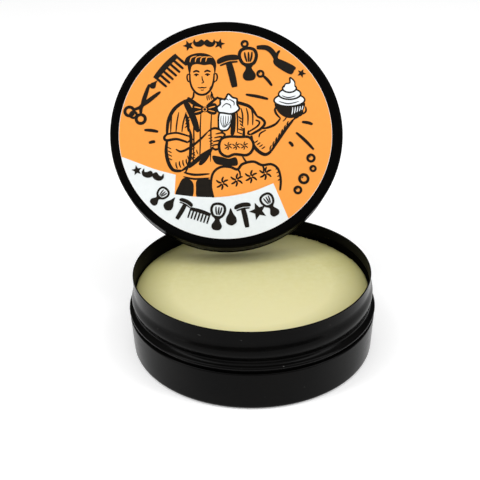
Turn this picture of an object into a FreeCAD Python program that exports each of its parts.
import FreeCAD, Part
import math
import os

# A shaving soap puck poured into a shallow aluminium screw tin, with the screw lid off and leaning in the tin.
# Lengths are in millimetres and angles in degrees. The origin is the centre of the tin's foot, +Z is up and the
# front is towards -Y. Round shapes are drawn as an outline of (radius, height) points and turned about Z.

SHEET = 0.43  # thickness of the drawn aluminium sheet

# Tin
TIN_HEIGHT = 27.7
RIM_RADIUS = 40.0
BODY_TOP_RADIUS = 41.75
BODY_FOOT_RADIUS = 41.2
BODY_HEIGHT = 13.5
FOOT_RADIUS = 37.4
RECESS_RADIUS = 36.6
RECESS_DEPTH = 0.6
GROOVE_RADIUS = 40.4
GROOVE_HEIGHT = 13.9
BEAD_APEX_RADIUS = 42.5
BEAD_HEIGHT = 15.7
NECK_FOOT_HEIGHT = 16.4

# Rolled screw thread, right-handed: one broad ridge round the neck, and one round the inside of the lid
THREAD_PITCH = 4.8
THREAD_FADE = 45.0  # how far the ridge takes to rise out of the wall, and to sink back
THREAD_STEP = 15.0
SEAT = 0.2  # how deep a ridge's foot sits inside the sheet
NECK_RIDGE_RISE = 0.8
NECK_RIDGE_HALF_WIDTH = 3.2
NECK_RIDGE_DROP = 7.5  # from the rim down to the crest, at the front
NECK_RIDGE_START = -165.0
NECK_RIDGE_END = 165.0
LID_RIDGE_RISE = 0.7
LID_RIDGE_HALF_WIDTH = 1.9
LID_RIDGE_DROP = 10.6
LID_RIDGE_START = -60.0
LID_RIDGE_END = 240.0

# Soap
SOAP_LEVEL = 21.6
SOAP_GAP = 0.08  # the poured puck shrinks this much away from the sheet
SOAP_EDGE_ROUNDING = 0.6

# Lid
LID_RADIUS = 41.5
LID_DEPTH = 13.1
LID_CORNER = 1.1
LINER_RADIUS = 40.7
LINER_THICKNESS = 1.0
LINER_GAP = 0.2  # the loose wad turns freely under the lid's panel

# Labels
LABEL_THICKNESS = 0.12
LID_LABEL_RADIUS = 37.9
LID_LABEL_SHIFT = FreeCAD.Vector(-0.38, -0.42, 0.0)  # stuck on a little off centre
BASE_LABEL_RADIUS = 34.5

# The lid's place: tipped up from lying flat, turned about Z, then its top face's centre moved here
LID_TIP = 55.1
LID_YAW = 1.26
LID_FACE_CENTRE = FreeCAD.Vector(-7.8, 34.1, TIN_HEIGHT + 35.8)

ORIGIN = FreeCAD.Vector(0.0, 0.0, 0.0)
X_AXIS = FreeCAD.Vector(1.0, 0.0, 0.0)
Z_AXIS = FreeCAD.Vector(0.0, 0.0, 1.0)
SMALLEST_ROUNDING = 0.05


def point(radius, height):
    return FreeCAD.Vector(radius, 0.0, height)


def leftward(direction):
    """The unit vector to the left of a direction in the XZ drawing plane, seen from -Y."""
    return FreeCAD.Vector(-direction.z, 0.0, direction.x)


def moved_aside(corners, distance):
    """The corners of an open outline moved to the left of its travel by a distance."""
    directions = [(b - a).normalize() for a, b in zip(corners, corners[1:])]
    sides = [leftward(d) for d in directions]
    moved = [corners[0] + sides[0] * distance]
    for corner, side, next_side in zip(corners[1:-1], sides, sides[1:]):
        miter = side + next_side
        moved.append(corner + miter * (distance / (1.0 + side.dot(next_side))))
    moved.append(corners[-1] + sides[-1] * distance)
    return moved


def turns_left(before, corner, after):
    return leftward(corner - before).dot(after - corner) > 0.0


def roundings_inside(corners, roundings, distance):
    """The corner roundings of the outline that lies a distance to the left."""
    inside = []
    for before, corner, after, rounding in zip(corners, corners[1:], corners[2:], roundings):
        change = -distance if turns_left(before, corner, after) else distance
        inside.append(max(rounding + change, SMALLEST_ROUNDING))
    return inside


def rounded_edges(corners, roundings):
    """Straight runs joined by tangent arcs along an open outline."""
    edges = []
    start = corners[0]
    for before, corner, after, rounding in zip(corners, corners[1:], corners[2:], roundings):
        arriving = (corner - before).normalize()
        leaving = (after - corner).normalize()
        turn = arriving.getAngle(leaving)
        setback = rounding * math.tan(turn / 2.0)
        arc_start = corner - arriving * setback
        arc_end = corner + leaving * setback
        inward = (leaving - arriving).normalize()
        arc_middle = corner + inward * (rounding / math.cos(turn / 2.0) - rounding)
        edges.append(Part.LineSegment(start, arc_start).toShape())
        edges.append(Part.Arc(arc_start, arc_middle, arc_end).toShape())
        start = arc_end
    edges.append(Part.LineSegment(start, corners[-1]).toShape())
    return edges


def turned(edges):
    """The solid that a closed outline sweeps round the Z axis."""
    face = Part.Face(Part.Wire(Part.__sortEdges__(edges)))
    return face.revolve(ORIGIN, Z_AXIS, 360.0)


def turned_sheet(corners, roundings):
    """A drawn sheet part: its outer outline starts on the axis, and its free edge is rounded over."""
    inner = moved_aside(corners, SHEET)
    inner_roundings = roundings_inside(corners, roundings, SHEET)
    travel = (corners[-1] - corners[-2]).normalize()
    edge_top = (corners[-1] + inner[-1]) * 0.5 + travel * (SHEET / 2.0)
    edges = rounded_edges(corners, roundings)
    edges.append(Part.Arc(corners[-1], edge_top, inner[-1]).toShape())
    edges.extend(rounded_edges(inner, inner_roundings))
    edges.append(Part.LineSegment(inner[0], corners[0]).toShape())
    return turned(edges)


def faded(angle, start, end):
    """How much of its full height a ridge has at an angle: it rises and sinks smoothly at its two ends."""
    share = min(angle - start, end - angle) / THREAD_FADE
    share = min(max(share, 0.0), 1.0)
    return share * share * (3.0 - 2.0 * share)


def ridge(foot_radius, crest_radius, half_width, front_height, start, end):
    """A helical ridge. Angles are counted from the front, to the right, and height rises with angle."""
    sections = []
    count = round((end - start) / THREAD_STEP)
    hidden_crest = foot_radius + math.copysign(SEAT / 2.0, crest_radius - foot_radius)
    for step in range(count + 1):
        angle = start + (end - start) * step / count
        height = front_height + THREAD_PITCH * angle / 360.0
        crest = hidden_crest + (crest_radius - hidden_crest) * faded(angle, start, end)
        low = point(foot_radius, height - half_width)
        high = point(foot_radius, height + half_width)
        arc = Part.Arc(low, point(crest, height), high).toShape()
        section = Part.Wire([arc, Part.LineSegment(high, low).toShape()])
        section.rotate(ORIGIN, Z_AXIS, angle - 90.0)
        sections.append(section)
    return Part.makeLoft(sections, True, False)


def disc(radius, thickness, base_height):
    return Part.makeCylinder(radius, thickness, point(0.0, base_height))


def leaning(shape):
    """A shape drawn with the lid's top face on z = 0, moved to where the lid leans in the tin."""
    placed = shape.copy()
    placed.rotate(ORIGIN, X_AXIS, LID_TIP)
    placed.rotate(ORIGIN, Z_AXIS, LID_YAW)
    placed.translate(LID_FACE_CENTRE)
    return placed


def tin_outline():
    """The tin's outside, from the middle of the base to the rim, and the rounding of each corner between."""
    corners = [
        point(0.0, RECESS_DEPTH),
        point(RECESS_RADIUS, RECESS_DEPTH),
        point(FOOT_RADIUS, 0.0),
        point(BODY_FOOT_RADIUS, 0.0),
        point(BODY_TOP_RADIUS, BODY_HEIGHT),
        point(GROOVE_RADIUS, GROOVE_HEIGHT),
        point(BEAD_APEX_RADIUS, BEAD_HEIGHT),
        point(RIM_RADIUS, NECK_FOOT_HEIGHT),
        point(RIM_RADIUS, TIN_HEIGHT - SHEET / 2.0),
    ]
    roundings = [0.4, 0.7, 1.5, 0.5, 0.15, 0.58, 0.5]
    return corners, roundings


def jar_body():
    """The tin: a recessed foot, a straight wall, a groove, a stop bead and a neck with the rolled thread."""
    corners, roundings = tin_outline()
    sheet = turned_sheet(corners, roundings)
    crest = RIM_RADIUS + NECK_RIDGE_RISE
    front_height = TIN_HEIGHT - NECK_RIDGE_DROP
    ends = (front_height, NECK_RIDGE_START, NECK_RIDGE_END)
    outside = ridge(RIM_RADIUS - SEAT, crest, NECK_RIDGE_HALF_WIDTH, *ends)
    inside = ridge(RIM_RADIUS - SEAT - SHEET, crest - SHEET, NECK_RIDGE_HALF_WIDTH, *ends)
    above_bead = disc(BODY_TOP_RADIUS, TIN_HEIGHT - NECK_FOOT_HEIGHT, NECK_FOOT_HEIGHT)
    return sheet.fuse(outside.common(above_bead)).cut(inside).removeSplitter()


def soap_puck():
    """The puck fills the tin up to its level, with a softly rounded top edge."""
    corners, roundings = tin_outline()
    clearance = SHEET + SOAP_GAP
    side = moved_aside(corners, clearance)
    side[-1] = point(side[-1].x, SOAP_LEVEL)
    side_roundings = roundings_inside(corners, roundings, clearance)
    top = [*side, point(0.0, SOAP_LEVEL)]
    edges = rounded_edges(top, [*side_roundings, SOAP_EDGE_ROUNDING])
    edges.append(Part.LineSegment(top[-1], top[0]).toShape())
    return turned(edges)


def lid_shell():
    """The screw lid: a flat panel, a small round corner and a skirt with the rolled thread."""
    corners = [
        point(0.0, 0.0),
        point(LID_RADIUS, 0.0),
        point(LID_RADIUS, SHEET / 2.0 - LID_DEPTH),
    ]
    mirrored = [FreeCAD.Vector(c.x, 0.0, -c.z) for c in corners]
    sheet = turned_sheet(mirrored, [LID_CORNER])
    sheet.rotate(ORIGIN, X_AXIS, 180.0)
    ends = (-LID_RIDGE_DROP, LID_RIDGE_START, LID_RIDGE_END)
    inner_wall = LID_RADIUS - SHEET
    crest = inner_wall - LID_RIDGE_RISE
    inside = ridge(inner_wall + SEAT, crest, LID_RIDGE_HALF_WIDTH, *ends)
    outside = ridge(inner_wall + SEAT + SHEET, crest + SHEET, LID_RIDGE_HALF_WIDTH, *ends)
    return leaning(sheet.fuse(inside).cut(outside).removeSplitter())


def lid_liner():
    """The loose foam wad that seals on the rim, kept in the lid by the ridge."""
    under_panel = -SHEET - LINER_GAP - LINER_THICKNESS
    return leaning(disc(LINER_RADIUS, LINER_THICKNESS, under_panel))


def lid_label():
    label = disc(LID_LABEL_RADIUS, LABEL_THICKNESS, 0.0)
    label.translate(LID_LABEL_SHIFT)
    return leaning(label)


def base_label():
    return disc(BASE_LABEL_RADIUS, LABEL_THICKNESS, RECESS_DEPTH - LABEL_THICKNESS)


def main():
    os.makedirs("parts", exist_ok=True)
    for make in (jar_body, soap_puck, lid_shell, lid_liner, lid_label, base_label):
        shape = make()
        shape.exportStep(f"parts/{make.__name__}.step")
        print(make.__name__, "solids", len(shape.Solids), "valid", shape.isValid(), "mm3", round(shape.Volume, 1))


main()
